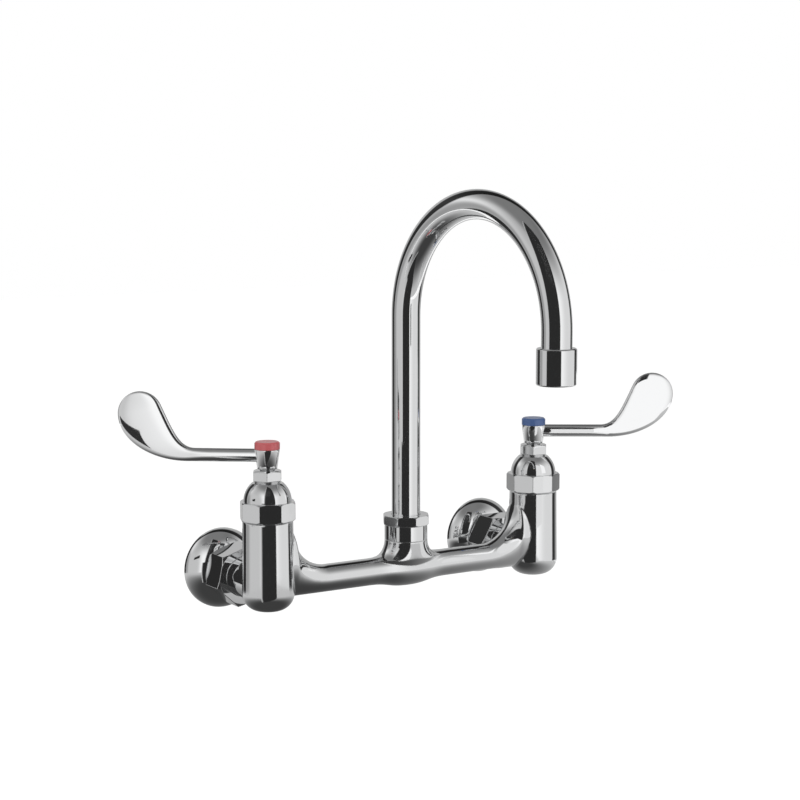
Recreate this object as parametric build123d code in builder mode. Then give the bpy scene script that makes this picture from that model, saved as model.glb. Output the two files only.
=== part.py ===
from build123d import *
import math
import os

os.makedirs("parts", exist_ok=True)

# Wall-mounted two-handle mixer tap with a swivel gooseneck spout, in millimetres.
# The origin lies on the wall face, midway between the two inlets. +X is to the right
# of someone facing the wall, +Y goes into the wall and +Z is up. The inlets, the bridge
# and the valve seats are centred on Z = 0.

# Setting out
inlet_spacing = 203.2
wall_to_valves = 65.0

# Wall flange with its union spud
flange_r = 26.0
flange_rim = 2.2
flange_depth = 14.0
flange_neck_r = 14.0
flange_bulge = 0.45
flange_edge_fall = 0.6
pipe_thread_r = 9.5
pipe_thread_depth = 12.0
spud_r = 9.9
spud_collar_r = 12.4
spud_collar_length = 3.0
waterway_r = 6.0

# Coupling nut and inlet washer
nut_to_flange = 2.0
coupling_flats = 35.0
coupling_length = 18.0
coupling_lip = 3.2
hot_coupling_turn = 18.0
cold_coupling_turn = 0.0
nut_bevel = 1.4
nut_bevel_fall = 2.2
inlet_washer_thickness = 2.0
inlet_washer_bore_r = 6.5

# Body casting: tails, valve barrels and bridge
tail_r = 13.0
barrel_r = 16.4
barrel_top_r = 15.8
barrel_drop = 15.7
barrel_corner_r = 11.0
barrel_rise = 41.6
barrel_rim_bevel = 1.1
bridge_r = 8.75
bridge_bore_r = 5.0
bridge_bore_end = 24.0
horn_arc_r = 25.0
horn_side_swell = 3.0
horn_turns = range(0, 79, 13)
horn_root = 8.2
hub_r = 11.7
hub_half_length = 29.0
riser_r = 3.5

# Spout socket on the bridge
neck_r = 13.9
neck_shoulder = 18.8
neck_arc_r = 11.5
neck_turns = range(0, 91, 18)
neck_foot_half_width = 13.2
neck_root_height = -1.0
neck_root_half_length = 13.0
neck_root_half_width = 9.6
neck_thread_r = 12.6
neck_top = 27.0
socket_r = 10.6
socket_floor = 8.5

# Valve bore
seat_height = 9.0
seat_port_r = 4.5
valve_bore_r = 10.85
mouth_r = 13.0
mouth_depth = 14.6

# Cartridge and its seals
running_fit = 0.07
thread_fit = 0.05
loose_fit = 0.25
seat_seal_thickness = 2.6
seat_seal_bore_r = 7.0
disc_r = 8.6
fixed_disc_thickness = 2.6
moving_disc_thickness = 3.4
disc_port_r = 2.1
disc_port_offset = 4.6
tang_width = 3.0
tang_depth = 1.6
cartridge_roof = 1.0
cartridge_flange_thickness = 3.0
cartridge_neck_r = 8.0
cartridge_neck_rise = 28.4
window_width = 6.5
window_height = 5.0
spindle_bore_r = 5.0
spindle_collar_r = 8.0
spindle_collar_thickness = 2.4
o_ring_cord_r = 0.9
cartridge_o_ring_drop = 4.5
spindle_o_ring_rises = (11.0, 17.0)

# Bonnet, gland and packing nut
bonnet_overlap = 0.2
bonnet_band = 11.6
bonnet_dome_r = 15.0
bonnet_dome_top_r = 9.7
bonnet_dome_height = 11.6
bonnet_bevel = 0.9
hot_bonnet_turn = 0.0
cold_bonnet_turn = 9.0
gland_r = 6.6
gland_thickness = 3.4
packing_nut_corner_r = 9.9
packing_nut_length = 6.3
packing_nut_bevel = 1.0
packing_nut_gap = 1.6
hot_packing_nut_turn = 0.0
cold_packing_nut_turn = -6.0
spindle_top_r = 4.5

# Handle, with its hub, arm and wrist blade
hub_gap = 0.8
handle_hub_r = 6.3
handle_hub_top_r = 7.8
handle_hub_height = 12.5
broach_r = 4.3
broach_height = 6.0
broach_point_count = 12
hub_web = 1.8
hub_recess_r = 5.0
arm_height = 8.3
arm_half_height = 4.2
arm_half_width = 4.1
blade_root = 40.0
blade_throat_start = 45.0
blade_throat_bend = 55.0
blade_throat_pull = 0.67
blade_belly_start = 49.6
blade_crest = 58.0
blade_tip_centre = (79.0, 33.4)
blade_tip_r = 14.0
blade_shoulder_angle = 155.0
blade_root_half_thickness = 1.95
blade_half_thickness = 3.1
blade_tip_half_thickness = 2.1
blade_edge_r = 1.75
quarter_circle_pull = 0.5523
hot_blade_back = 37.0
cold_blade_forward = 33.0

# Stations along the arm: distance from the spindle axis, half width, half height
arm_stations = (
    (3.0, arm_half_width, arm_half_height),
    (34.0, arm_half_width, arm_half_height),
    (48.0, 3.6, 4.0),
    (blade_crest, 2.85, 3.35),
)

# Handle screw and index button
screw_r = 2.0
screw_length = 12.0
screw_head_r = 3.9
screw_head_height = 2.6
screw_slot_width = 1.0
screw_slot_depth = 1.3
index_r = 7.9
index_height = 4.5
index_bevel = 0.9
index_plug_r = 4.8
index_plug_height = 1.6

# Gooseneck spout
tube_r = 9.2
tube_wall = 1.2
spout_reach = 144.5
spring_height = 164.0
spout_swing = 4.8
ferrule_flange_r = 12.2
ferrule_flange_thickness = 2.4
ferrule_bore_r = 6.8
tube_foot = 19.0
swivel_clearance = 0.3
glide_ring_thickness = 1.3
spout_o_ring_heights = (12.0, 16.0)

# Spout nut
spout_nut_corner_r = 15.6
spout_nut_collar = 9.9
spout_nut_height = 16.2
spout_nut_bevel = 0.9
spout_nut_turn = -7.0

# Outlet sleeve and aerator
sleeve_r = 12.0
sleeve_length = 21.9
sleeve_bevel = 0.7
outlet_leg = 9.5
tube_insertion = 8.5
sleeve_step = 2.0
aerator_bore_r = 10.8
aerator_recess = 0.8
aerator_shell_wall = 1.1
aerator_shell_lip = 1.2
aerator_washer_thickness = 1.5
aerator_core_height = 4.5
aerator_jet_r = 0.8
aerator_jet_ring_r = 6.2
aerator_jet_count = 12
aerator_inner_ring_r = 2.9
aerator_inner_jet_count = 6
mesh_thickness = 0.6
mesh_pitch = 1.9
mesh_hole = 1.2
mesh_row_count = 7

# Places worked out from the sizes above
valve_x = inlet_spacing / 2
axis_y = -wall_to_valves
bridge_end = valve_x - barrel_r - horn_arc_r
neck_foot = neck_shoulder - neck_arc_r
quarter_turn = 90.0
hexagon_side_count = 6
octagon_side_count = 8

nut_start = flange_depth + nut_to_flange
collar_start = nut_start + coupling_lip + thread_fit
tail_end = collar_start + spud_collar_length + inlet_washer_thickness

mouth_floor = barrel_rise - mouth_depth
cartridge_chamber_top = mouth_floor - cartridge_roof
cartridge_flange_top = mouth_floor + cartridge_flange_thickness
cartridge_neck_top = barrel_rise + cartridge_neck_rise
cartridge_o_ring_height = mouth_floor - cartridge_o_ring_drop
spindle_o_ring_heights = [mouth_floor + rise for rise in spindle_o_ring_rises]
bonnet_flats = 2 * barrel_r + bonnet_overlap
fixed_disc_bottom = seat_height + seat_seal_thickness
moving_disc_bottom = fixed_disc_bottom + fixed_disc_thickness
moving_disc_top = moving_disc_bottom + moving_disc_thickness
chamber_r = disc_r + 2 * running_fit
bonnet_band_top = barrel_rise + bonnet_band
bonnet_top = bonnet_band_top + bonnet_dome_height
packing_nut_bottom = bonnet_top + packing_nut_gap
packing_nut_top = packing_nut_bottom + packing_nut_length

handle_bottom = packing_nut_top + hub_gap
handle_top = handle_bottom + handle_hub_height
spindle_end = handle_bottom + broach_height
web_top = spindle_end + hub_web

nut_lip_bottom = neck_top + ferrule_flange_thickness + glide_ring_thickness + swivel_clearance
spout_nut_top = neck_shoulder + spout_nut_height
sleeve_top = spring_height - outlet_leg
sleeve_bottom = sleeve_top - sleeve_length
tube_end = sleeve_top - tube_insertion
aerator_top = tube_end - sleeve_step


def corner_radius(flats, sides):
    """The radius to the corners of a regular polygon, from the width across its flats."""
    return flats / 2 / math.cos(math.pi / sides)


def lying_plane(height, x=0.0, y=axis_y):
    """A level plane at a height, centred on an upright axis."""
    return Plane(origin=(x, y, height))


def upright_plane(x, y=axis_y, angle=0.0):
    """An upright plane through an axis: local X points out at an angle, local Y is up."""
    turn = math.radians(angle)
    outward = (math.cos(turn), math.sin(turn), 0)
    across = (math.sin(turn), -math.cos(turn), 0)
    return Plane(origin=(x, y, 0), x_dir=outward, z_dir=across)


def upright_axis(x, y=axis_y):
    return Axis((x, y, 0), (0, 0, 1))


def inlet_plane(x):
    """Local X runs out from the wall along an inlet, local Y is up."""
    return Plane(origin=(x, 0, 0), x_dir=(0, -1, 0), z_dir=(-1, 0, 0))


def inlet_section(x, from_wall):
    """A plane across an inlet at a distance from the wall, facing out from the wall."""
    return Plane(origin=(x, -from_wall, 0), x_dir=(1, 0, 0), z_dir=(0, -1, 0))


def inlet_axis(x):
    return Axis((x, 0, 0), (0, -1, 0))


def keep(piece, name):
    """Label a finished piece and write it under its own name."""
    piece.part.label = name
    export_step(piece.part, f"parts/{name}.step")


def keep_ring(name, plane, outer_r, inner_r, thickness):
    """A flat ring standing on a plane, such as a washer or a seal."""
    with BuildPart() as ring:
        with BuildSketch(plane):
            Circle(outer_r)
            Circle(inner_r, mode=Mode.SUBTRACT)
        extrude(amount=thickness)
    keep(ring, name)


def keep_o_rings(name, x, y, centre_r, heights):
    """Round-section sealing rings round an upright axis."""
    with BuildPart() as rings:
        with BuildSketch(upright_plane(x, y)):
            with Locations(*[(centre_r, height) for height in heights]):
                Circle(o_ring_cord_r)
        revolve(axis=upright_axis(x, y))
    keep(rings, name)


# Body casting

def horn_sections(side):
    """The bridge widens upwards into a horn where it runs into a valve barrel."""
    for turn in horn_turns:
        along = horn_arc_r * math.sin(math.radians(turn))
        rise = horn_arc_r * (1 - math.cos(math.radians(turn)))
        swell = horn_side_swell * rise / horn_arc_r
        yield side * (bridge_end + along), rise, swell
    yield side * (valve_x - horn_root), horn_arc_r, horn_side_swell


def neck_sections():
    """The round spout neck spreads along the bridge towards its foot."""
    for turn in neck_turns:
        down = neck_arc_r * math.sin(math.radians(turn))
        spread = neck_arc_r * (1 - math.cos(math.radians(turn)))
        across = neck_r + (neck_foot_half_width - neck_r) * turn / quarter_turn
        yield neck_shoulder - down, neck_r + spread, across


with BuildPart() as body_casting:
    # Bridge, with its gentle swell under the spout
    with BuildSketch(Plane.XZ.offset(wall_to_valves)):
        with BuildLine():
            bridge_edge = Polyline(
                (-hub_half_length, bridge_r),
                (-bridge_end, bridge_r),
                (-bridge_end, 0),
                (bridge_end, 0),
                (bridge_end, bridge_r),
                (hub_half_length, bridge_r),
            )
            Bezier(
                bridge_edge @ 1,
                (hub_half_length / 2, bridge_r),
                (hub_half_length / 2, hub_r),
                (0, hub_r),
            )
            Bezier(
                (0, hub_r),
                (-hub_half_length / 2, hub_r),
                (-hub_half_length / 2, bridge_r),
                bridge_edge @ 0,
            )
        make_face()
    revolve(axis=Axis((0, axis_y, 0), (1, 0, 0)))

    # Horns between the bridge and the valve barrels
    for side in (-1, 1):
        for x, rise, swell in horn_sections(side):
            with BuildSketch(Plane(origin=(x, axis_y, rise / 2), x_dir=(0, 1, 0), z_dir=(1, 0, 0))):
                Ellipse(bridge_r + swell, bridge_r + rise / 2)
        loft()

    # Valve barrels, round below and slightly drawn in at the rim
    for x in (-valve_x, valve_x):
        with BuildSketch(upright_plane(x)):
            with BuildLine():
                barrel_side = Polyline(
                    (barrel_r, barrel_corner_r - barrel_drop),
                    (barrel_top_r, barrel_rise - barrel_rim_bevel),
                    (barrel_top_r - barrel_rim_bevel, barrel_rise),
                    (0, barrel_rise),
                    (0, -barrel_drop),
                    (barrel_r - barrel_corner_r, -barrel_drop),
                )
                RadiusArc(barrel_side @ 1, barrel_side @ 0, -barrel_corner_r)
            make_face()
        revolve(axis=upright_axis(x))

        # Tail that runs back to the union
        with BuildSketch(inlet_section(x, tail_end)):
            Circle(tail_r)
        extrude(amount=wall_to_valves - tail_end)

    # Spout neck, drawn in below its foot, with its thread above the shoulder
    for height, along, across in neck_sections():
        with BuildSketch(lying_plane(height)):
            Ellipse(along, across)
    loft()
    with BuildSketch(lying_plane(neck_foot)):
        Ellipse(neck_r + neck_arc_r, neck_foot_half_width)
    with BuildSketch(lying_plane(neck_root_height)):
        Ellipse(neck_root_half_length, neck_root_half_width)
    loft()
    with BuildSketch(lying_plane(neck_shoulder)):
        Circle(neck_thread_r)
    extrude(amount=neck_top - neck_shoulder)

    # Waterways
    with BuildSketch(Plane(origin=(0, axis_y, 0), z_dir=(1, 0, 0))):
        Circle(bridge_bore_r)
    extrude(amount=valve_x - bridge_bore_end, both=True, mode=Mode.SUBTRACT)
    for side in (-1, 1):
        x = side * valve_x
        with BuildSketch(inlet_section(x, tail_end)):
            Circle(waterway_r)
        extrude(amount=wall_to_valves - tail_end, mode=Mode.SUBTRACT)
        with BuildSketch(lying_plane(0, x)):
            Circle(seat_port_r)
        extrude(amount=seat_height, mode=Mode.SUBTRACT)
        with BuildSketch(lying_plane(seat_height, x)):
            Circle(valve_bore_r)
        extrude(amount=barrel_rise - seat_height, mode=Mode.SUBTRACT)
        with BuildSketch(lying_plane(mouth_floor, x)):
            Circle(mouth_r)
        extrude(amount=mouth_depth, mode=Mode.SUBTRACT)
        riser_top = Vector(side * (valve_x - valve_bore_r + riser_r), axis_y, seat_height + 2 * riser_r)
        riser_foot = Vector(side * (valve_x - bridge_bore_end - riser_r), axis_y, 0)
        with BuildSketch(Plane(origin=riser_top, z_dir=riser_foot - riser_top)):
            Circle(riser_r)
        extrude(amount=(riser_foot - riser_top).length, mode=Mode.SUBTRACT)
    with BuildSketch(lying_plane(socket_floor)):
        Circle(socket_r)
    extrude(amount=neck_top - socket_floor, mode=Mode.SUBTRACT)
    with BuildSketch(lying_plane(0)):
        Circle(bridge_bore_r)
    extrude(amount=socket_floor, mode=Mode.SUBTRACT)
keep(body_casting, "body_casting")


# Inlet union: wall flange, coupling nut and washer

def make_inlet_flange(side, x):
    with BuildPart() as inlet_flange:
        with BuildSketch(inlet_plane(x)):
            with BuildLine():
                outline = Polyline(
                    (flange_depth, flange_neck_r),
                    (flange_depth, spud_r),
                    (collar_start, spud_r),
                    (collar_start, spud_collar_r),
                    (collar_start + spud_collar_length, spud_collar_r),
                    (collar_start + spud_collar_length, waterway_r),
                    (pipe_thread_depth, waterway_r),
                    (pipe_thread_depth, pipe_thread_r),
                    (0, pipe_thread_r),
                    (0, flange_r),
                    (flange_rim, flange_r),
                )
                Bezier(
                    outline @ 1,
                    (flange_rim + (flange_depth - flange_rim) * flange_bulge, flange_r - flange_edge_fall),
                    (flange_depth - flange_edge_fall, (flange_r + flange_neck_r) / 2),
                    outline @ 0,
                )
            make_face()
        revolve(axis=inlet_axis(x))
    keep(inlet_flange, f"{side}_inlet_flange")


def make_coupling_nut(side, x, turn):
    corner_r = corner_radius(coupling_flats, hexagon_side_count)
    with BuildPart() as coupling_nut:
        with BuildSketch(inlet_section(x, nut_start)):
            RegularPolygon(corner_r, hexagon_side_count, rotation=turn)
        extrude(amount=coupling_length)
        with BuildSketch(inlet_plane(x)):
            with BuildLine():
                Polyline(
                    (nut_start, spud_r + loose_fit),
                    (nut_start, corner_r - nut_bevel_fall),
                    (nut_start + nut_bevel, corner_r),
                    (nut_start + coupling_length - nut_bevel, corner_r),
                    (nut_start + coupling_length, corner_r - nut_bevel_fall),
                    (nut_start + coupling_length, tail_r + thread_fit),
                    (nut_start + coupling_lip, tail_r + thread_fit),
                    (nut_start + coupling_lip, spud_r + loose_fit),
                    close=True,
                )
            make_face()
        revolve(axis=inlet_axis(x), mode=Mode.INTERSECT)
    keep(coupling_nut, f"{side}_coupling_nut")


def make_inlet_washer(side, x):
    name = f"{side}_inlet_washer"
    seat = inlet_section(x, collar_start + spud_collar_length)
    keep_ring(name, seat, spud_collar_r, inlet_washer_bore_r, inlet_washer_thickness)


# Valve: seal, ceramic discs, cartridge, bonnet, gland and packing nut

def make_seat_seal(side, x):
    seat = lying_plane(seat_height, x)
    keep_ring(f"{side}_seat_seal", seat, disc_r, seat_seal_bore_r, seat_seal_thickness)


def make_fixed_disc(side, x):
    with BuildPart() as fixed_disc:
        with BuildSketch(lying_plane(fixed_disc_bottom, x)):
            Circle(disc_r)
            with PolarLocations(disc_port_offset, 2):
                Circle(disc_port_r, mode=Mode.SUBTRACT)
        extrude(amount=fixed_disc_thickness)
    keep(fixed_disc, f"{side}_fixed_disc")


def make_moving_disc(side, x, port_angle):
    """The ports lie over those of the fixed disc when the valve is fully open."""
    with BuildPart() as moving_disc:
        with BuildSketch(lying_plane(moving_disc_bottom, x)):
            Circle(disc_r)
            with PolarLocations(disc_port_offset, 2, start_angle=port_angle):
                Circle(disc_port_r, mode=Mode.SUBTRACT)
        extrude(amount=moving_disc_thickness)
        with BuildSketch(lying_plane(moving_disc_top, x)):
            Rectangle(3 * disc_r, tang_width + 2 * running_fit, rotation=port_angle + quarter_turn)
        extrude(amount=-tang_depth, mode=Mode.SUBTRACT)
    keep(moving_disc, f"{side}_moving_disc")


def make_cartridge_body(side, x):
    barrel = valve_bore_r - running_fit
    shoulder_r = mouth_r - running_fit
    groove_r = valve_bore_r - 2 * o_ring_cord_r
    with BuildPart() as cartridge_body:
        with BuildSketch(upright_plane(x)):
            with BuildLine():
                Polyline(
                    (chamber_r, seat_height),
                    (barrel, seat_height),
                    (barrel, mouth_floor),
                    (shoulder_r, mouth_floor),
                    (shoulder_r, cartridge_flange_top),
                    (cartridge_neck_r, cartridge_flange_top),
                    (cartridge_neck_r, cartridge_neck_top),
                    (gland_r, cartridge_neck_top),
                    (gland_r, cartridge_neck_top - gland_thickness),
                    (spindle_bore_r, cartridge_neck_top - gland_thickness),
                    (spindle_bore_r, cartridge_chamber_top),
                    (chamber_r, cartridge_chamber_top),
                    close=True,
                )
            make_face()
            with Locations((valve_bore_r, cartridge_o_ring_height)):
                Rectangle(2 * (valve_bore_r - groove_r), 2 * o_ring_cord_r, mode=Mode.SUBTRACT)
        revolve(axis=upright_axis(x))
        # Two side windows let the water out above the discs
        with BuildSketch(upright_plane(x)):
            with Locations((0, moving_disc_bottom + window_height / 2)):
                Rectangle(window_width, window_height)
        extrude(amount=valve_bore_r, both=True, mode=Mode.SUBTRACT)
    keep(cartridge_body, f"{side}_cartridge_body")


def make_bonnet(side, x, turn):
    corner_r = corner_radius(bonnet_flats, octagon_side_count)
    with BuildPart() as bonnet:
        with BuildSketch(lying_plane(barrel_rise, x)):
            RegularPolygon(corner_r, octagon_side_count, rotation=turn)
        extrude(amount=bonnet_band)
        with BuildSketch(upright_plane(x)):
            with BuildLine():
                Polyline(
                    (0, barrel_rise),
                    (corner_r - bonnet_bevel, barrel_rise),
                    (corner_r, barrel_rise + bonnet_bevel),
                    (corner_r, bonnet_band_top - bonnet_bevel),
                    (corner_r - bonnet_bevel, bonnet_band_top),
                    (0, bonnet_band_top),
                    close=True,
                )
            make_face()
        revolve(axis=upright_axis(x), mode=Mode.INTERSECT)
        # Dome above the octagonal band, threaded spigot below it, bore through both
        with BuildSketch(upright_plane(x)):
            with BuildLine():
                outline = Polyline(
                    (bonnet_dome_r, bonnet_band_top),
                    (0, bonnet_band_top),
                    (0, bonnet_top),
                    (bonnet_dome_top_r, bonnet_top),
                )
                TangentArc(outline @ 0, outline @ 1, tangent=(0, 1))
            make_face()
        revolve(axis=upright_axis(x))
        with BuildSketch(lying_plane(cartridge_flange_top, x)):
            Circle(mouth_r - thread_fit)
        extrude(amount=barrel_rise - cartridge_flange_top)
        with BuildSketch(lying_plane(cartridge_flange_top, x)):
            Circle(cartridge_neck_r + running_fit)
        extrude(amount=bonnet_top - cartridge_flange_top, mode=Mode.SUBTRACT)
    keep(bonnet, f"{side}_bonnet")


def make_gland_packing(side, x):
    name = f"{side}_gland_packing"
    seat = lying_plane(cartridge_neck_top - gland_thickness, x)
    packing_bore_r = spindle_top_r + running_fit
    keep_ring(name, seat, gland_r - running_fit, packing_bore_r, gland_thickness)


def make_packing_nut(side, x, turn):
    with BuildPart() as packing_nut:
        with BuildSketch(lying_plane(packing_nut_bottom, x)):
            RegularPolygon(packing_nut_corner_r, hexagon_side_count, rotation=turn)
        extrude(amount=packing_nut_length)
        with BuildSketch(upright_plane(x)):
            with BuildLine():
                Polyline(
                    (cartridge_neck_r + thread_fit, packing_nut_bottom),
                    (packing_nut_corner_r, packing_nut_bottom),
                    (packing_nut_corner_r, packing_nut_top - packing_nut_bevel),
                    (packing_nut_corner_r - 2 * packing_nut_bevel, packing_nut_top),
                    (spindle_top_r + loose_fit, packing_nut_top),
                    (spindle_top_r + loose_fit, cartridge_neck_top),
                    (cartridge_neck_r + thread_fit, cartridge_neck_top),
                    close=True,
                )
            make_face()
        revolve(axis=upright_axis(x), mode=Mode.INTERSECT)
    keep(packing_nut, f"{side}_packing_nut")


# Handle: spindle, blade handle, screw and index button

def make_spindle(side, x, port_angle):
    shaft_r = spindle_bore_r - running_fit
    collar_top = cartridge_chamber_top - loose_fit
    groove_r = shaft_r - 2 * o_ring_cord_r
    with BuildPart() as spindle:
        with BuildSketch(upright_plane(x)):
            with BuildLine():
                Polyline(
                    (0, moving_disc_top),
                    (spindle_top_r, moving_disc_top),
                    (spindle_top_r, collar_top - spindle_collar_thickness),
                    (spindle_collar_r, collar_top - spindle_collar_thickness),
                    (spindle_collar_r, collar_top),
                    (shaft_r, collar_top),
                    (shaft_r, cartridge_neck_top - gland_thickness),
                    (spindle_top_r, cartridge_neck_top - gland_thickness),
                    (spindle_top_r, packing_nut_top + hub_gap / 2),
                    (0, packing_nut_top + hub_gap / 2),
                    close=True,
                )
            make_face()
            with Locations(*[(shaft_r, height) for height in spindle_o_ring_heights]):
                Rectangle(2 * (shaft_r - groove_r), 2 * o_ring_cord_r, mode=Mode.SUBTRACT)
        revolve(axis=upright_axis(x))
        # Tang that turns the moving disc, and broach that carries the handle
        with BuildSketch(lying_plane(moving_disc_top - tang_depth, x)):
            Circle(disc_r - tang_depth)
            Rectangle(2 * disc_r, tang_width, rotation=port_angle + quarter_turn, mode=Mode.INTERSECT)
        extrude(amount=2 * tang_depth)
        with BuildSketch(lying_plane(packing_nut_top, x)):
            RegularPolygon(broach_r, broach_point_count)
        extrude(amount=spindle_end - packing_nut_top)
        with BuildSketch(lying_plane(spindle_end, x)):
            Circle(screw_r)
        extrude(amount=-(screw_length - hub_web), mode=Mode.SUBTRACT)
    keep(spindle, f"{side}_spindle")


def blade_outline():
    """Side view of the blade: local X from the spindle axis, local Y up from the handle's foot."""
    tip_x, tip_y = blade_tip_centre
    turn = math.radians(blade_shoulder_angle)
    shoulder = (tip_x + blade_tip_r * math.cos(turn), tip_y + blade_tip_r * math.sin(turn))
    heading = (-math.sin(turn), math.cos(turn))
    below = arm_height - arm_half_height
    above = arm_height + arm_half_height
    blade_end = tip_x + blade_tip_r
    pull = blade_throat_pull * (shoulder[1] - above)
    with BuildLine() as outline:
        Polyline(
            (blade_belly_start, below),
            (blade_root, below),
            (blade_root, above),
            (blade_throat_start, above),
        )
        Bezier(
            (blade_belly_start, below),
            (blade_belly_start + quarter_circle_pull * (blade_end - blade_belly_start), below),
            (blade_end, tip_y - quarter_circle_pull * (tip_y - below)),
            (blade_end, tip_y),
        )
        CenterArc(blade_tip_centre, blade_tip_r, 0, blade_shoulder_angle)
        Bezier(
            shoulder,
            (shoulder[0] + pull * heading[0], shoulder[1] + pull * heading[1]),
            (blade_throat_bend, above),
            (blade_throat_start, above),
        )
    return outline.line


def make_handle(side, x, arm_angle):
    upright = upright_plane(x, angle=arm_angle)
    side_view = Plane(origin=(x, axis_y, handle_bottom), x_dir=upright.x_dir, z_dir=upright.z_dir)
    plan_view = Plane(origin=(x, axis_y, handle_bottom), x_dir=upright.x_dir)
    blade_end = blade_tip_centre[0] + blade_tip_r
    blade_top = blade_tip_centre[1] + blade_tip_r
    with BuildPart() as blade:
        with BuildSketch(side_view):
            with BuildLine():
                add(blade_outline())
            make_face()
        extrude(amount=2 * blade_half_thickness, both=True)
        with BuildSketch(plan_view):
            with BuildLine():
                near = ThreePointArc(
                    (blade_root, -blade_root_half_thickness),
                    (blade_crest, -blade_half_thickness),
                    (blade_end, -blade_tip_half_thickness),
                )
                far = ThreePointArc(
                    (blade_end, blade_tip_half_thickness),
                    (blade_crest, blade_half_thickness),
                    (blade_root, blade_root_half_thickness),
                )
                Line(near @ 1, far @ 0)
                Line(far @ 1, near @ 0)
            make_face()
        extrude(amount=blade_top + blade_edge_r, mode=Mode.INTERSECT)
        fillet(blade.edges().filter_by(GeomType.LINE, reverse=True), radius=blade_edge_r)

    with BuildPart() as handle:
        with BuildSketch(upright_plane(x)):
            with BuildLine():
                Polyline(
                    (0, handle_bottom),
                    (handle_hub_r, handle_bottom),
                    (handle_hub_top_r, handle_top),
                    (0, handle_top),
                    close=True,
                )
            make_face()
        revolve(axis=upright_axis(x))
        # The arm fades into the faces of the blade
        for along, half_width, half_height in arm_stations:
            centre = side_view.from_local_coords((along, arm_height, 0))
            with BuildSketch(Plane(origin=centre, x_dir=side_view.z_dir, z_dir=side_view.x_dir)):
                Ellipse(half_width, half_height)
        loft()
        add(blade.part)
        # Broach, web and recess for the screw head
        with BuildSketch(lying_plane(handle_bottom, x)):
            RegularPolygon(broach_r + running_fit, broach_point_count)
        extrude(amount=broach_height + running_fit, mode=Mode.SUBTRACT)
        with BuildSketch(lying_plane(spindle_end, x)):
            Circle(screw_r + running_fit)
        extrude(amount=hub_web, mode=Mode.SUBTRACT)
        with BuildSketch(lying_plane(web_top, x)):
            Circle(hub_recess_r)
        extrude(amount=handle_top - web_top, mode=Mode.SUBTRACT)
    keep(handle, f"{side}_handle")


def make_handle_screw(side, x):
    with BuildPart() as handle_screw:
        with BuildSketch(lying_plane(web_top, x)):
            Circle(screw_r - running_fit)
        extrude(amount=-(screw_length - running_fit))
        with BuildSketch(lying_plane(web_top, x)):
            Circle(screw_head_r)
        extrude(amount=screw_head_height)
        with BuildSketch(lying_plane(web_top + screw_head_height, x)):
            Rectangle(3 * screw_head_r, screw_slot_width)
        extrude(amount=-screw_slot_depth, mode=Mode.SUBTRACT)
    keep(handle_screw, f"{side}_handle_screw")


def make_index(side, x):
    with BuildPart() as index:
        with BuildSketch(upright_plane(x)):
            with BuildLine():
                Polyline(
                    (0, handle_top - index_plug_height),
                    (index_plug_r, handle_top - index_plug_height),
                    (index_plug_r, handle_top),
                    (index_r, handle_top),
                    (index_r, handle_top + index_height - index_bevel),
                    (index_r - index_bevel, handle_top + index_height),
                    (0, handle_top + index_height),
                    close=True,
                )
            make_face()
        revolve(axis=upright_axis(x))
    keep(index, f"{side}_index")


# Both blades travel a quarter turn, from a stop behind the line of the valves to the same
# angle short of straight ahead on the other side. The hot one stands at its closed stop and
# the cold one has been drawn most of the way forward. Port angles count from fully open.
valves = (
    {
        "side": "hot",
        "x": -valve_x,
        "arm_angle": 2 * quarter_turn - hot_blade_back,
        "port_angle": -quarter_turn,
        "coupling_turn": hot_coupling_turn,
        "bonnet_turn": hot_bonnet_turn,
        "packing_nut_turn": hot_packing_nut_turn,
    },
    {
        "side": "cold",
        "x": valve_x,
        "arm_angle": -cold_blade_forward,
        "port_angle": quarter_turn - hot_blade_back - cold_blade_forward,
        "coupling_turn": cold_coupling_turn,
        "bonnet_turn": cold_bonnet_turn,
        "packing_nut_turn": cold_packing_nut_turn,
    },
)
for valve in valves:
    side = valve["side"]
    x = valve["x"]
    make_inlet_flange(side, x)
    make_coupling_nut(side, x, valve["coupling_turn"])
    make_inlet_washer(side, x)
    make_seat_seal(side, x)
    make_fixed_disc(side, x)
    make_moving_disc(side, x, valve["port_angle"])
    make_cartridge_body(side, x)
    groove_centre_r = valve_bore_r - o_ring_cord_r
    keep_o_rings(f"{side}_cartridge_o_ring", x, axis_y, groove_centre_r, (cartridge_o_ring_height,))
    make_bonnet(side, x, valve["bonnet_turn"])
    make_gland_packing(side, x)
    make_packing_nut(side, x, valve["packing_nut_turn"])
    make_spindle(side, x, valve["port_angle"])
    shaft_groove_r = spindle_bore_r - running_fit - o_ring_cord_r
    keep_o_rings(f"{side}_spindle_o_rings", x, axis_y, shaft_groove_r, spindle_o_ring_heights)
    make_handle(side, x, valve["arm_angle"])
    make_handle_screw(side, x)
    make_index(side, x)


# Spout

spout_plane = upright_plane(0, angle=spout_swing - 90)
outlet_x = spout_reach * math.sin(math.radians(spout_swing))
outlet_y = axis_y - spout_reach * math.cos(math.radians(spout_swing))

with BuildPart() as spout_tube:
    with BuildLine(spout_plane):
        Line((0, tube_foot), (0, spring_height))
        ThreePointArc(
            (0, spring_height),
            (spout_reach / 2, spring_height + spout_reach / 2),
            (spout_reach, spring_height),
        )
        Line((spout_reach, spring_height), (spout_reach, tube_end))
    with BuildSketch(lying_plane(tube_foot)):
        Circle(tube_r)
        Circle(tube_r - tube_wall, mode=Mode.SUBTRACT)
    sweep()
keep(spout_tube, "spout_tube")

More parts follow.
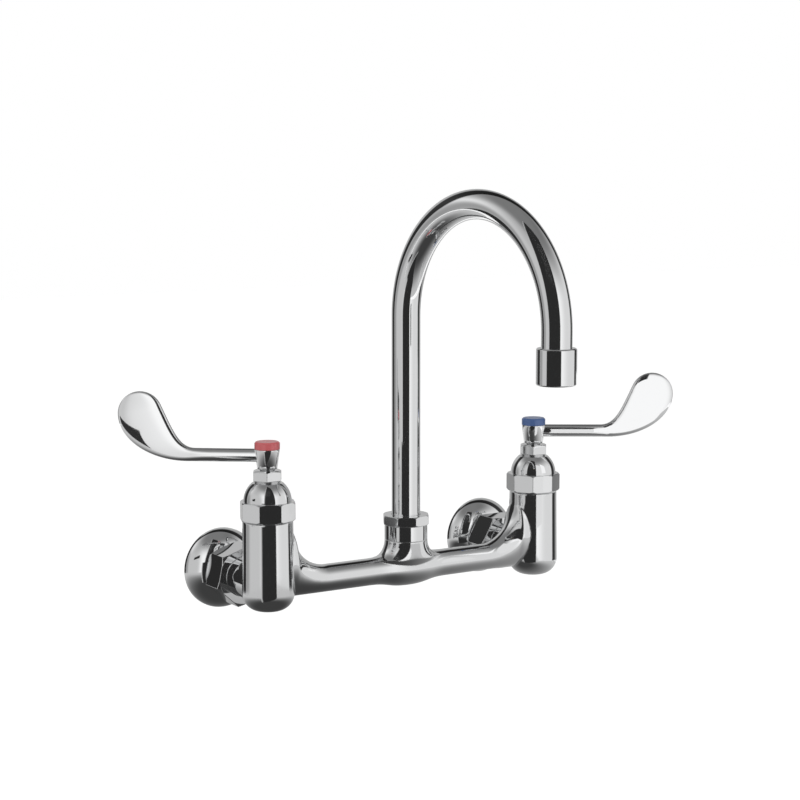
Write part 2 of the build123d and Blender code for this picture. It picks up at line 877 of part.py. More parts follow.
ferrule_r = socket_r - running_fit
ferrule_foot = socket_floor + running_fit
ferrule_top = neck_top + ferrule_flange_thickness
with BuildPart() as spout_ferrule:
    with BuildSketch(upright_plane(0)):
        with BuildLine():
            Polyline(
                (ferrule_bore_r, ferrule_foot),
                (ferrule_r, ferrule_foot),
                (ferrule_r, neck_top),
                (ferrule_flange_r, neck_top),
                (ferrule_flange_r, ferrule_top),
                (tube_r, ferrule_top),
                (tube_r, tube_foot),
                (ferrule_bore_r, tube_foot),
                close=True,
            )
        make_face()
        with Locations(*[(ferrule_r, height) for height in spout_o_ring_heights]):
            Rectangle(4 * o_ring_cord_r, 2 * o_ring_cord_r, mode=Mode.SUBTRACT)
    revolve(axis=upright_axis(0))
keep(spout_ferrule, "spout_ferrule")

keep_o_rings("spout_o_rings", 0, axis_y, ferrule_r - o_ring_cord_r, spout_o_ring_heights)

glide_seat = lying_plane(nut_lip_bottom - glide_ring_thickness)
glide_bore_r = tube_r + swivel_clearance
keep_ring("spout_glide_ring", glide_seat, ferrule_flange_r, glide_bore_r, glide_ring_thickness)

with BuildPart() as spout_nut:
    band_bottom = neck_shoulder + spout_nut_collar
    with BuildSketch(lying_plane(band_bottom)):
        RegularPolygon(spout_nut_corner_r, octagon_side_count, rotation=spout_nut_turn)
    extrude(amount=spout_nut_top - band_bottom)
    with BuildSketch(lying_plane(neck_shoulder)):
        Circle(neck_r)
    extrude(amount=spout_nut_collar)
    with BuildSketch(upright_plane(0)):
        with BuildLine():
            Polyline(
                (neck_thread_r + thread_fit, neck_shoulder),
                (neck_r, neck_shoulder),
                (neck_r, band_bottom),
                (spout_nut_corner_r - spout_nut_bevel, band_bottom),
                (spout_nut_corner_r, band_bottom + spout_nut_bevel),
                (spout_nut_corner_r, spout_nut_top - spout_nut_bevel),
                (spout_nut_corner_r - spout_nut_bevel, spout_nut_top),
                (tube_r + swivel_clearance, spout_nut_top),
                (tube_r + swivel_clearance, nut_lip_bottom),
                (neck_thread_r + thread_fit, nut_lip_bottom),
                close=True,
            )
        make_face()
    revolve(axis=upright_axis(0), mode=Mode.INTERSECT)
keep(spout_nut, "spout_nut")

# Outlet sleeve and aerator

with BuildPart() as outlet_sleeve:
    with BuildSketch(upright_plane(outlet_x, outlet_y)):
        with BuildLine():
            Polyline(
                (aerator_bore_r, sleeve_bottom),
                (sleeve_r - sleeve_bevel, sleeve_bottom),
                (sleeve_r, sleeve_bottom + sleeve_bevel),
                (sleeve_r, sleeve_top - sleeve_bevel),
                (sleeve_r - sleeve_bevel, sleeve_top),
                (tube_r, sleeve_top),
                (tube_r, tube_end),
                (tube_r - tube_wall, tube_end),
                (tube_r - tube_wall, aerator_top),
                (aerator_bore_r, aerator_top),
                close=True,
            )
        make_face()
    revolve(axis=upright_axis(outlet_x, outlet_y))
keep(outlet_sleeve, "outlet_sleeve")

shell_r = aerator_bore_r - thread_fit
shell_inner_r = shell_r - aerator_shell_wall
shell_top = aerator_top - aerator_washer_thickness
shell_bottom = sleeve_bottom + aerator_recess
core_bottom = shell_top - aerator_core_height
washer_seat = lying_plane(shell_top, outlet_x, outlet_y)
keep_ring("aerator_washer", washer_seat, shell_r, tube_r - tube_wall, aerator_washer_thickness)

with BuildPart() as aerator_shell:
    with BuildSketch(upright_plane(outlet_x, outlet_y)):
        with BuildLine():
            Polyline(
                (shell_inner_r - aerator_shell_wall, shell_bottom),
                (shell_r, shell_bottom),
                (shell_r, shell_top),
                (shell_inner_r, shell_top),
                (shell_inner_r, shell_bottom + aerator_shell_lip),
                (shell_inner_r - aerator_shell_wall, shell_bottom + aerator_shell_lip),
                close=True,
            )
        make_face()
    revolve(axis=upright_axis(outlet_x, outlet_y))
keep(aerator_shell, "aerator_shell")

mesh_seat = shell_bottom + aerator_shell_lip
with BuildPart() as aerator_mesh:
    with BuildSketch(lying_plane(mesh_seat, outlet_x, outlet_y)):
        Circle(shell_inner_r - running_fit)
        with GridLocations(mesh_pitch, mesh_pitch, mesh_row_count, mesh_row_count):
            Rectangle(mesh_hole, mesh_hole, mode=Mode.SUBTRACT)
    extrude(amount=mesh_thickness)
keep(aerator_mesh, "aerator_mesh")

with BuildPart() as aerator_core:
    core_r = shell_inner_r - running_fit
    skirt = core_bottom - mesh_seat - mesh_thickness
    with BuildSketch(lying_plane(core_bottom, outlet_x, outlet_y)):
        Circle(core_r)
        with PolarLocations(aerator_jet_ring_r, aerator_jet_count):
            Circle(aerator_jet_r, mode=Mode.SUBTRACT)
        with PolarLocations(aerator_inner_ring_r, aerator_inner_jet_count):
            Circle(aerator_jet_r, mode=Mode.SUBTRACT)
    extrude(amount=aerator_core_height)
    # The skirt stands on the mesh and leaves a mixing space under the jets
    with BuildSketch(lying_plane(mesh_seat + mesh_thickness, outlet_x, outlet_y)):
        Circle(core_r)
        Circle(core_r - aerator_shell_wall, mode=Mode.SUBTRACT)
    extrude(amount=skirt)
keep(aerator_core, "aerator_core")
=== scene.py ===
import math

import bmesh
import bpy
from mathutils import Matrix, Vector
from mathutils.geometry import interpolate_bezier


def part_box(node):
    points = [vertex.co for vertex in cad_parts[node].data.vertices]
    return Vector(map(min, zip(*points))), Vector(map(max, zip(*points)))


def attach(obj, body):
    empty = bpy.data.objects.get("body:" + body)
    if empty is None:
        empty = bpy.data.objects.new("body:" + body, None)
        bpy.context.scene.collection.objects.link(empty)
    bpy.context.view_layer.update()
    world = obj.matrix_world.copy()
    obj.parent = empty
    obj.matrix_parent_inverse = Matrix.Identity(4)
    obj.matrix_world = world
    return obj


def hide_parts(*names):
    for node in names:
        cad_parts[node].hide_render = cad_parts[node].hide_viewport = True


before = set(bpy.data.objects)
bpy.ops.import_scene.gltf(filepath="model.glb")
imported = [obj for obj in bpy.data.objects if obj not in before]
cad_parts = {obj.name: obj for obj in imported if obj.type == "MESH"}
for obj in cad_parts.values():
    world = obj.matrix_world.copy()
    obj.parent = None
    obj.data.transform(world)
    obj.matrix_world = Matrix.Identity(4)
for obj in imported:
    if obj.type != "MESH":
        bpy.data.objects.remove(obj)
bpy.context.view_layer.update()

# CAD nodes by finish, both sides of the tap together
PLATED = ("inlet_flange", "coupling_nut", "bonnet", "packing_nut", "spout_tube", "spout_nut",
          "outlet_sleeve")
DULL_PLATED = ("cartridge_body", "spindle")
BRASS = ("spout_ferrule", "aerator_shell")
RUBBER = ("inlet_washer", "seat_seal", "cartridge_o_ring", "spindle_o_rings", "spout_o_rings",
          "aerator_washer")
CERAMIC = ("fixed_disc", "moving_disc")
NYLON = ("spout_glide_ring", "aerator_core")
PACKING = ("gland_packing",)
STAINLESS = ("handle_screw", "aerator_mesh")

# Handle sizes in millimetres. The side view follows the part's handle. The blade's section is slimmer and
# rounder than the part's, and the broach hole is round
VALVE_X = 101.6
VALVE_Y = -65.0
HUB_FOOT_R = 6.3
HUB_TOP_R = 7.8
HUB_HEIGHT = 12.5
HUB_EDGE = 0.4
BROACH_R = 4.5
BROACH_HEIGHT = 6.1
SCREW_HOLE_R = 2.1
WEB_TOP = 7.8
RECESS_R = 5.0
ARM_ROOT = 5.7
ARM_HEIGHT = 8.3
ARM_HALF_HEIGHT = 4.15
ARM_HALF_THICKNESS = 4.1
THROAT_START = 45.0
THROAT_BEND = 55.0
THROAT_PULL = 0.67
BELLY_START = 49.6
QUARTER_CIRCLE_PULL = 0.5523
BLADE_TIP = Vector((79.0, 33.4))
BLADE_TIP_R = 14.0
BLADE_SHOULDER = 155.0
BLADE_HALF_THICKNESS = 2.8
HOT_ARM_ANGLE = 180.0 - 37.0
COLD_ARM_ANGLE = -33.0
MILLIMETRE = 0.001

# How the round arm turns into the flat blade, and how fast the blade thins round its tip
ARM_FULLNESS = 2.0
BLADE_FULLNESS = 3.6
FLATTENING_START = 34.0
FLATTENING_END = 70.0
TIP_THINNING = 0.6

# How finely the handles are divided
SECTION_POINTS = 48
ARM_RINGS = 12
BLADE_RINGS = 30
TIP_RINGS = 23
HUB_STEPS = 72
MERGE_DISTANCE = 0.001
SHARP_ANGLE = 40.0

# Bright plate: scales of its haze and of its buffing ripple, and the samples of its soft edges
HAZE_SCALE = 90.0
BUFFING_SCALE = 45.0
EDGE_SAMPLES = 8

# Plain surfaces: tint of their darker spots, roughness of their duller ones, and strength of their bump
MOTTLE_TINT = 0.86
MOTTLE_ROUGHNESS = 1.25
MOTTLE_BUMP = 0.25

# Studio, in metres
FLOOR_Z = -0.30
FLOOR_HALF_WIDTH = 6.0
FLOOR_GREY = 0.9
FLOOR_LIFT = 0.32
TENT_RADIUS = 1.25
TAP_CENTRE = Vector((0.0, -0.065, 0.05))

# Dark hoop on the tent, round the direction in which the camera looks, and the cosines at its soft edges
HOOP_AIM = (0.5314, 0.8376, -0.1265)
HOOP_INNER_EDGE = (0.62, 0.70)
HOOP_OUTER_EDGE = (0.27, 0.33)
HOOP_DARK = 0.05
HOOP_INSIDE = 0.50

# Greyer parts of the tent: direction from the tap, cosines where the grey starts and is full, and its level
OVERHEAD_GREY = ((0.0, 0.0, 1.0), 0.36, 0.94, 0.20)
LEFT_GREY = ((-0.992, 0.122, 0.0), 0.62, 0.90, 0.58)
LEFT_BACK_GREY = ((-0.50, 0.86, -0.10), 0.76, 0.95, 0.50)
RIGHT_GREY = ((0.96, -0.28, 0.0), 0.10, 0.80, 0.74)

# Round card under the tap, dark out to one radius and light from another
TABLE_CARD_R = 0.65
TABLE_CARD_PLACE = (-0.12, -0.13, -0.13)
TABLE_DARK_R = 0.10
TABLE_LIGHT_R = 0.55
TABLE_DARK = 0.05
TABLE_LIGHT = 0.55

# Black flags seen from above, the height where the low one meets the tall one, and their soft ends
TALL_FLAG_LEFT = (-0.229, -0.190)
LOW_FLAG_LEFT = (-0.250, -0.156)
FLAG_RIGHT = (-0.037, -0.495)
FLAG_JOIN_Z = 0.045
FLAG_TOP_Z = 0.95
FLAG_GLOW = 0.025
FLAG_SOFT = 0.12
LEFT_END_GLOW = 0.6
RIGHT_END_GLOW = 0.7

# Light all round and from the lamp
SOFT_LIGHT = 0.75
BACKDROP_LIGHT = 1.0
LAMP_SIZE = 1.2
LAMP_WATTS = 12.0
LAMP_PLACE = (-1.0, -1.3, 1.7)

# Camera, solved from the photograph
CAMERA_LENS = 88.93
CAMERA_SENSOR = 36.0
CAMERA_PLACE = (-0.67824, -1.12697, 0.26995)
CAMERA_PITCH = 82.735
CAMERA_HEADING = -32.39


# Materials

def new_material(name):
    """A node material with its shader and a coordinate node that follows the object."""
    material = bpy.data.materials.new(name)
    material.use_nodes = True
    nodes = material.node_tree.nodes
    shader = nodes["Principled BSDF"]
    coordinates = nodes.new("ShaderNodeTexCoord")
    return material, nodes, material.node_tree.links, shader, coordinates


def noise(nodes, links, coordinates, scale, detail=4.0, roughness=0.55):
    texture = nodes.new("ShaderNodeTexNoise")
    texture.inputs["Scale"].default_value = scale
    texture.inputs["Detail"].default_value = detail
    texture.inputs["Roughness"].default_value = roughness
    links.new(coordinates.outputs["Object"], texture.inputs["Vector"])
    return texture


def ramp(nodes, links, source, low, high, low_value, high_value):
    """Maps a stretch of a grey value onto two colours or greys."""
    node = nodes.new("ShaderNodeValToRGB")
    first, last = node.color_ramp.elements
    first.position, last.position = low, high
    first.color, last.color = low_value, high_value
    links.new(source, node.inputs["Fac"])
    return node


def grey(value):
    return (value, value, value, 1.0)


def bump(nodes, links, height, strength, distance, shader, under=None):
    node = nodes.new("ShaderNodeBump")
    node.inputs["Strength"].default_value = strength
    node.inputs["Distance"].default_value = distance
    links.new(height, node.inputs["Height"])
    if under:
        links.new(under, node.inputs["Normal"])
    links.new(node.outputs["Normal"], shader.inputs["Normal"])


def chrome_material(name, edge_radius, colour=0.88, haze_low=0.03, haze_high=0.08, ripple=0.00002):
    """Bright plate: edges worn soft, a faint polishing haze and the slow ripple of buffing."""
    material, nodes, links, shader, coordinates = new_material(name)
    shader.inputs["Base Color"].default_value = (colour, colour + 0.005, colour + 0.01, 1.0)
    shader.inputs["Metallic"].default_value = 1.0
    haze = noise(nodes, links, coordinates, HAZE_SCALE)
    worn = ramp(nodes, links, haze.outputs["Fac"], 0.35, 0.75, grey(haze_low), grey(haze_high))
    links.new(worn.outputs["Color"], shader.inputs["Roughness"])
    edges = nodes.new("ShaderNodeBevel")
    edges.samples = EDGE_SAMPLES
    edges.inputs["Radius"].default_value = edge_radius
    buffing = noise(nodes, links, coordinates, BUFFING_SCALE, detail=1.0)
    bump(nodes, links, buffing.outputs["Fac"], 1.0, ripple, shader, under=edges.outputs["Normal"])
    return material


def plain_material(name, colour, roughness, metallic=0.0, coat=0.0, scale=60.0, depth=0.00005):
    """A moulded or turned surface with slight mottling and a fine bump."""
    material, nodes, links, shader, coordinates = new_material(name)
    grain = noise(nodes, links, coordinates, scale)
    darker = tuple(MOTTLE_TINT * channel for channel in colour) + (1.0,)
    tint = ramp(nodes, links, grain.outputs["Fac"], 0.3, 0.7, darker, colour + (1.0,))
    links.new(tint.outputs["Color"], shader.inputs["Base Color"])
    shader.inputs["Metallic"].default_value = metallic
    shader.inputs["Coat Weight"].default_value = coat
    rougher = roughness * MOTTLE_ROUGHNESS
    rough = ramp(nodes, links, grain.outputs["Fac"], 0.3, 0.7, grey(roughness), grey(rougher))
    links.new(rough.outputs["Color"], shader.inputs["Roughness"])
    bump(nodes, links, grain.outputs["Fac"], MOTTLE_BUMP, depth, shader)
    return material


def paint(names, material):
    """Gives the nodes of these names, hot, cold or single, a material."""
    for name in names:
        for node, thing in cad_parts.items():
            if node in (name, f"hot_{name}", f"cold_{name}"):
                thing.data.materials.clear()
                thing.data.materials.append(material)


chrome = chrome_material("polished_chrome", 0.0006)
cast_chrome = chrome_material("polished_chrome_casting", 0.0016, ripple=0.00004)
# The handles' plate is a lighter copy of the same chrome, 0.93 against 0.88: a painted highlight for the
# brighter light the handles catch
handle_chrome_painted_highlight = chrome_material("polished_chrome_handle_painted_highlight", 0.0010, colour=0.93)
dull_plate = chrome_material("dull_plate", 0.0003, colour=0.62, haze_low=0.22, haze_high=0.34)
brass = plain_material("turned_brass", (0.72, 0.52, 0.24), 0.24, metallic=1.0)
rubber = plain_material("moulded_rubber", (0.025, 0.025, 0.026), 0.55)
ceramic = plain_material("lapped_ceramic", (0.84, 0.83, 0.80), 0.28)
nylon = plain_material("moulded_nylon", (0.78, 0.78, 0.75), 0.42)
packing = plain_material("graphite_packing", (0.20, 0.20, 0.19), 0.6)
stainless = plain_material("stainless_steel", (0.60, 0.60, 0.59), 0.30, metallic=1.0)
red_button = plain_material("red_button", (0.58, 0.12, 0.13), 0.25, coat=0.3)
blue_button = plain_material("blue_button", (0.07, 0.13, 0.31), 0.25, coat=0.3)

paint(PLATED, chrome)
paint(("body_casting",), cast_chrome)
paint(DULL_PLATED, dull_plate)
paint(BRASS, brass)
paint(RUBBER, rubber)
paint(CERAMIC, ceramic)
paint(NYLON, nylon)
paint(PACKING, packing)
paint(STAINLESS, stainless)
paint(("hot_index",), red_button)
paint(("cold_index",), blue_button)


# Objects, for the handles and the studio alike

def add_to_scene(name, data):
    thing = bpy.data.objects.new(name, data)
    bpy.context.scene.collection.objects.link(thing)
    return thing


def place(name, bm, material):
    """Turns a finished bmesh into an object with one material."""
    mesh = bpy.data.meshes.new(name)
    bmesh.ops.recalc_face_normals(bm, faces=bm.faces)
    bm.to_mesh(mesh)
    bm.free()
    mesh.materials.append(material)
    return add_to_scene(name, mesh)


# Handles

def rim_point(angle):
    """Point of the blade's round tip, in degrees up from its far side."""
    turn = math.radians(angle)
    return BLADE_TIP + BLADE_TIP_R * Vector((math.cos(turn), math.sin(turn)))


def ring(inner, outer, half_thickness):
    """Placement of a unit section whose width runs between two points of the handle's side view."""
    across = (inner - outer) / 2
    along = Vector((across.y, -across.x)).normalized()
    centre = (inner + outer) / 2
    return Matrix((
        (across.x, 0.0, along.x, centre.x),
        (across.y, 0.0, along.y, centre.y),
        (0.0, half_thickness, 0.0, 0.0),
        (0.0, 0.0, 0.0, 1.0),
    ))


def flattening(reach):
    """From 0 in the round arm to 1 in the flat blade, eased in between."""
    part = min(max((reach - FLATTENING_START) / (FLATTENING_END - FLATTENING_START), 0.0), 1.0)
    return part * part * (3.0 - 2.0 * part)


def thickness_at(reach):
    return ARM_HALF_THICKNESS + flattening(reach) * (BLADE_HALF_THICKNESS - ARM_HALF_THICKNESS)


def fullness_at(reach):
    return ARM_FULLNESS + flattening(reach) * (BLADE_FULLNESS - ARM_FULLNESS)


def handle_rings():
    """Ring placements along the arm, up the blade and round its tip, in the handle's own plane."""
    below = ARM_HEIGHT - ARM_HALF_HEIGHT
    above = ARM_HEIGHT + ARM_HALF_HEIGHT
    shoulder = rim_point(BLADE_SHOULDER)
    turn = math.radians(BLADE_SHOULDER)
    heading = Vector((-math.sin(turn), math.cos(turn)))
    pull = THROAT_PULL * (shoulder.y - above)
    blade_end = BLADE_TIP.x + BLADE_TIP_R
    throat = interpolate_bezier(
        Vector((THROAT_START, above)), Vector((THROAT_BEND, above)), shoulder + pull * heading, shoulder,
        BLADE_RINGS)
    belly = interpolate_bezier(
        Vector((BELLY_START, below)),
        Vector((BELLY_START + QUARTER_CIRCLE_PULL * (blade_end - BELLY_START), below)),
        Vector((blade_end, BLADE_TIP.y - QUARTER_CIRCLE_PULL * (BLADE_TIP.y - below))),
        Vector((blade_end, BLADE_TIP.y)), BLADE_RINGS)
    rings = []
    for step in range(ARM_RINGS):
        part = step / ARM_RINGS
        inner = Vector((ARM_ROOT + part * (THROAT_START - ARM_ROOT), above))
        outer = Vector((ARM_ROOT + part * (BELLY_START - ARM_ROOT), below))
        rings.append((ring(inner, outer, thickness_at(inner.x)), fullness_at(inner.x)))
    for inner, outer in zip(throat, belly):
        reach = (inner.x + outer.x) / 2
        rings.append((ring(inner.to_2d(), outer.to_2d(), thickness_at(reach)), fullness_at(reach)))
    top = BLADE_SHOULDER / 2
    for step in range(1, TIP_RINGS + 1):
        spread = top * (1.0 - step / (TIP_RINGS + 0.5))
        narrowing = math.sin(math.radians(spread)) / math.sin(math.radians(top))
        half_thickness = BLADE_HALF_THICKNESS * narrowing ** TIP_THINNING
        across = ring(rim_point(top + spread), rim_point(top - spread), half_thickness)
        rings.append((across, BLADE_FULLNESS))
    return rings


def rounded(value, fullness):
    """Pushes a sine or cosine outwards, so that a circle's faces go flat and its edges stay round."""
    return math.copysign(abs(value) ** (2.0 / fullness), value)


def section(bm, placement, fullness):
    """One closed cross-section at its place, returned as its edges, in the same order every time."""
    points = bmesh.ops.create_circle(bm, segments=SECTION_POINTS, radius=1.0)["verts"]
    for point in points:
        point.co = placement @ Vector((rounded(point.co.x, fullness), rounded(point.co.y, fullness), 0.0))
    return list(dict.fromkeys(edge for point in points for edge in point.link_edges))


def loft(bm, placements):
    """Skins a row of cross-sections and closes both ends."""
    loops = [section(bm, placement, fullness) for placement, fullness in placements]
    for near, far in zip(loops, loops[1:]):
        bmesh.ops.bridge_loops(bm, edges=near + far)
    for end in (loops[0], loops[-1]):
        bmesh.ops.edgeloop_fill(bm, edges=end)


def hub(bm):
    """Turned hub with its broach hole and screw recess, spun from its outline."""
    outline = (
        (BROACH_R, 0.0), (HUB_FOOT_R - HUB_EDGE, 0.0), (HUB_FOOT_R, HUB_EDGE),
        (HUB_TOP_R, HUB_HEIGHT - HUB_EDGE), (HUB_TOP_R - HUB_EDGE, HUB_HEIGHT),
        (RECESS_R, HUB_HEIGHT), (RECESS_R, WEB_TOP), (SCREW_HOLE_R, WEB_TOP),
        (SCREW_HOLE_R, BROACH_HEIGHT), (BROACH_R, BROACH_HEIGHT),
    )
    points = [bm.verts.new((radius, height, 0.0)) for radius, height in outline]
    edges = [bm.edges.new(pair) for pair in zip(points, points[1:] + points[:1])]
    bmesh.ops.spin(bm, geom=points + edges, cent=(0, 0, 0), axis=(0, 1, 0), angle=math.tau, steps=HUB_STEPS,
                   use_merge=True)
    bmesh.ops.remove_doubles(bm, verts=bm.verts, dist=MERGE_DISTANCE)


def join_solids(thing, other):
    """Melts a second closed shell into the first one."""
    union = thing.modifiers.new("union", "BOOLEAN")
    union.operation = "UNION"
    union.solver = "EXACT"
    union.object = other
    joined = bpy.data.meshes.new_from_object(thing.evaluated_get(bpy.context.evaluated_depsgraph_get()))
    thing.modifiers.clear()
    thing.data = joined
    bpy.data.objects.remove(other)


def wrist_blade(side, x, arm_angle):
    """Blade handle in one piece: hub, round arm and crowned blade."""
    foot = min(corner[2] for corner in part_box(f"{side}_handle"))
    turn = math.radians(arm_angle)
    stand = Matrix((
        (math.cos(turn), 0.0, math.sin(turn), x * MILLIMETRE),
        (math.sin(turn), 0.0, -math.cos(turn), VALVE_Y * MILLIMETRE),
        (0.0, 1.0, 0.0, foot),
        (0.0, 0.0, 0.0, 1.0),
    )) @ Matrix.Diagonal((MILLIMETRE, MILLIMETRE, MILLIMETRE, 1.0))
    blade = bmesh.new()
    loft(blade, handle_rings())
    turned = bmesh.new()
    hub(turned)
    shells = []
    for name, bm in ((f"{side}_blade_handle", blade), (f"{side}_hub", turned)):
        bmesh.ops.transform(bm, matrix=stand, verts=bm.verts)
        shells.append(place(name, bm, handle_chrome_painted_highlight))
    join_solids(*shells)
    handle = shells[0]
    handle.data.shade_smooth()
    handle.data.set_sharp_from_angle(angle=math.radians(SHARP_ANGLE))
    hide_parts(f"{side}_handle")
    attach(handle, f"{side}_handle_set")


wrist_blade("hot", -VALVE_X, HOT_ARM_ANGLE)
wrist_blade("cold", VALVE_X, COLD_ARM_ANGLE)


# Studio

def reflection_only(thing):
    """Keeps a card or tent out of the picture, so that it is only mirrored in the plate."""
    thing.visible_camera = False
    thing.visible_shadow = False
    thing.visible_diffuse = False
    thing.visible_transmission = False


def glow(name):
    """A glowing material, whose strength is left to be set evenly or by a pattern."""
    material = bpy.data.materials.new(name)
    material.use_nodes = True
    nodes = material.node_tree.nodes
    nodes.remove(nodes["Principled BSDF"])
    shader = nodes.new("ShaderNodeEmission")
    material.node_tree.links.new(shader.outputs["Emission"], nodes["Material Output"].inputs["Surface"])
    return material, nodes, material.node_tree.links, shader


def ease(nodes, links, source, start, end, start_value, end_value):
    """Goes softly from one value to the other while the source goes from start to end."""
    node = nodes.new("ShaderNodeMapRange")
    node.interpolation_type = "SMOOTHSTEP"
    values = (start, end, start_value, end_value)
    for socket, value in zip(("From Min", "From Max", "To Min", "To Max"), values):
        node.inputs[socket].default_value = value
    links.new(source, node.inputs["Value"])
    return node.outputs["Result"]


def combine(nodes, links, operation, first, second):
    node = nodes.new("ShaderNodeMath")
    node.operation = operation
    links.new(first, node.inputs[0])
    links.new(second, node.inputs[1])
    return node.outputs["Value"]


def toward(nodes, links, direction, aim):
    """Cosine of the angle between a direction on the tent and a fixed one."""
    node = nodes.new("ShaderNodeVectorMath")
    node.operation = "DOT_PRODUCT"
    node.inputs[1].default_value = aim
    links.new(direction, node.inputs[0])
    return node.outputs["Value"]


def light_tent():
    """White tent, greyer overhead, at both sides and behind on the left, with a dark hoop behind."""
    bm = bmesh.new()
    bmesh.ops.create_icosphere(bm, subdivisions=4, radius=TENT_RADIUS)
    material, nodes, links, shader = glow("light_tent")
    coordinates = nodes.new("ShaderNodeTexCoord")
    direction = nodes.new("ShaderNodeVectorMath")
    direction.operation = "NORMALIZE"
    links.new(coordinates.outputs["Object"], direction.inputs[0])
    direction = direction.outputs["Vector"]
    behind = toward(nodes, links, direction, HOOP_AIM)
    shade = combine(
        nodes, links, "MAXIMUM",
        ease(nodes, links, behind, *HOOP_INNER_EDGE, HOOP_DARK, HOOP_INSIDE),
        ease(nodes, links, behind, *HOOP_OUTER_EDGE, 1.0, HOOP_DARK))
    for aim, start, full, level in (OVERHEAD_GREY, LEFT_GREY, LEFT_BACK_GREY, RIGHT_GREY):
        greyer = ease(nodes, links, toward(nodes, links, direction, aim), start, full, 1.0, level)
        shade = combine(nodes, links, "MULTIPLY", shade, greyer)
    links.new(shade, shader.inputs["Strength"])
    tent = place("light_tent", bm, material)
    tent.location = TAP_CENTRE
    reflection_only(tent)


def upright_card(name, start, end, bottom, top, strength, soft=0.0):
    """Standing card between two points seen from above, whose ends may fade to light."""
    bm = bmesh.new()
    bmesh.ops.create_grid(bm, x_segments=1, y_segments=1, size=1.0)
    material, nodes, links, shader = glow(name)
    shader.inputs["Strength"].default_value = strength
    if soft:
        coordinates = nodes.new("ShaderNodeTexCoord")
        split = nodes.new("ShaderNodeSeparateXYZ")
        links.new(coordinates.outputs["Object"], split.inputs["Vector"])
        faded = combine(
            nodes, links, "MAXIMUM",
            ease(nodes, links, split.outputs["X"], -1.0, soft - 1.0, LEFT_END_GLOW, strength),
            ease(nodes, links, split.outputs["X"], 1.0 - soft, 1.0, strength, RIGHT_END_GLOW))
        links.new(faded, shader.inputs["Strength"])
    card = place(name, bm, material)
    start, end = Vector(start), Vector(end)
    middle, half = (start + end) / 2, (end - start) / 2
    card.matrix_world = Matrix((
        (half.x, 0.0, half.y, middle.x),
        (half.y, 0.0, -half.x, middle.y),
        (0.0, (top - bottom) / 2, 0.0, (top + bottom) / 2),
        (0.0, 0.0, 0.0, 1.0),
    ))
    reflection_only(card)


def table_card():
    """Round card under the tap, dark in the middle, mirrored in every underside."""
    bm = bmesh.new()
    bmesh.ops.create_circle(bm, cap_ends=True, segments=64, radius=TABLE_CARD_R)
    material, nodes, links, shader = glow("table_card")
    coordinates = nodes.new("ShaderNodeTexCoord")
    reach = nodes.new("ShaderNodeVectorMath")
    reach.operation = "LENGTH"
    links.new(coordinates.outputs["Object"], reach.inputs[0])
    shade = ease(
        nodes, links, reach.outputs["Value"], TABLE_DARK_R, TABLE_LIGHT_R, TABLE_DARK, TABLE_LIGHT)
    links.new(shade, shader.inputs["Strength"])
    card = place("table_card", bm, material)
    card.location = TABLE_CARD_PLACE
    reflection_only(card)


light_tent()
table_card()

# Black flags in front, mirrored as the dark band on every upright, and a small one for the hot blade
upright_card("tall_flag", TALL_FLAG_LEFT, FLAG_RIGHT, FLAG_JOIN_Z, FLAG_TOP_Z, FLAG_GLOW, soft=FLAG_SOFT)
upright_card("low_flag", LOW_FLAG_LEFT, FLAG_RIGHT, FLOOR_Z, FLAG_JOIN_Z, FLAG_GLOW, soft=FLAG_SOFT)
upright_card("blade_flag", (-0.300, -0.015), (-0.2277, -0.0703), bottom=0.062, top=0.0845, strength=0.03)

# White cards that clear the flags out of the cold handle's arm and blade
upright_card("cold_arm_card", (0.072, -0.141), (0.113, -0.169), bottom=0.007, top=0.128, strength=0.8)
upright_card("cold_blade_card", (0.1087, -0.1412), (0.1598, -0.1744), bottom=0.057, top=0.1255, strength=1.0)


def backdrop_factor(nodes, links):
    """One for the rays that see the backdrop: straight, mirrored or through something clear."""
    path = nodes.new("ShaderNodeLightPath")
    seen = combine(nodes, links, "MAXIMUM", path.outputs["Is Camera Ray"], path.outputs["Is Glossy Ray"])
    return combine(nodes, links, "MAXIMUM", seen, path.outputs["Is Transmission Ray"])


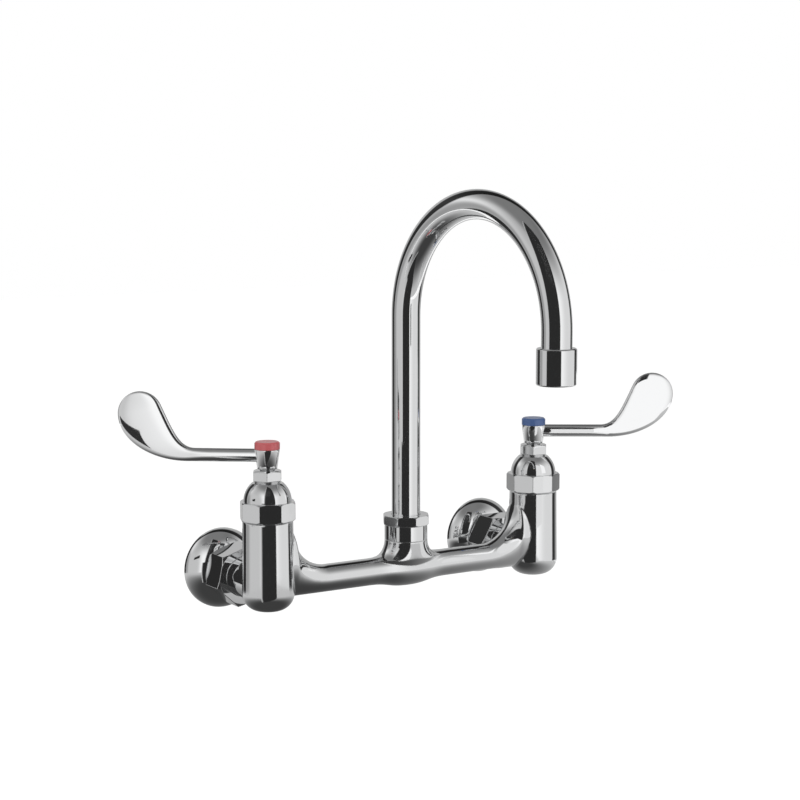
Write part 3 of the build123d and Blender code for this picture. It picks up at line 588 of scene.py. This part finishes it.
def pale_floor():
    """Floor that takes the tap's shadow and is lifted towards the backdrop's white."""
    bm = bmesh.new()
    bmesh.ops.create_grid(bm, x_segments=1, y_segments=1, size=FLOOR_HALF_WIDTH)
    material = bpy.data.materials.new("pale_floor")
    material.use_nodes = True
    nodes, links = material.node_tree.nodes, material.node_tree.links
    shader = nodes["Principled BSDF"]
    shader.inputs["Base Color"].default_value = grey(FLOOR_GREY)
    shader.inputs["Roughness"].default_value = 0.9
    shader.inputs["Emission Color"].default_value = grey(1.0)
    lift = nodes.new("ShaderNodeMath")
    lift.operation = "MULTIPLY"
    lift.inputs[1].default_value = FLOOR_LIFT
    links.new(backdrop_factor(nodes, links), lift.inputs[0])
    links.new(lift.outputs["Value"], shader.inputs["Emission Strength"])
    floor = place("floor", bm, material)
    floor.location = (0.0, 0.0, FLOOR_Z)


def studio_world():
    """Soft even light all round, and a white backdrop for the rays that see it."""
    world = bpy.data.worlds.new("studio")
    bpy.context.scene.world = world
    world.use_nodes = True
    nodes, links = world.node_tree.nodes, world.node_tree.links
    soft_light = nodes["Background"]
    backdrop = nodes.new("ShaderNodeBackground")
    for light, strength in ((soft_light, SOFT_LIGHT), (backdrop, BACKDROP_LIGHT)):
        light.inputs["Color"].default_value = grey(1.0)
        light.inputs["Strength"].default_value = strength
    choice = nodes.new("ShaderNodeMixShader")
    links.new(backdrop_factor(nodes, links), choice.inputs["Fac"])
    links.new(soft_light.outputs["Background"], choice.inputs[1])
    links.new(backdrop.outputs["Background"], choice.inputs[2])
    links.new(choice.outputs["Shader"], nodes["World Output"].inputs["Surface"])


def soft_box():
    """Large square lamp, up on the left in front."""
    lamp_data = bpy.data.lights.new("soft_box", "AREA")
    lamp_data.shape = "SQUARE"
    lamp_data.size = LAMP_SIZE
    lamp_data.energy = LAMP_WATTS
    lamp = add_to_scene("soft_box", lamp_data)
    lamp.location = LAMP_PLACE
    lamp.rotation_euler = (TAP_CENTRE - lamp.location).to_track_quat("-Z", "Y").to_euler()


def photo_camera():
    camera_data = bpy.data.cameras.new("camera")
    camera_data.lens = CAMERA_LENS
    camera_data.sensor_width = CAMERA_SENSOR
    camera = add_to_scene("camera", camera_data)
    camera.location = CAMERA_PLACE
    camera.rotation_euler = (math.radians(CAMERA_PITCH), 0.0, math.radians(CAMERA_HEADING))
    bpy.context.scene.camera = camera


pale_floor()
studio_world()
soft_box()
photo_camera()
bpy.context.scene.view_settings.view_transform = "Standard"
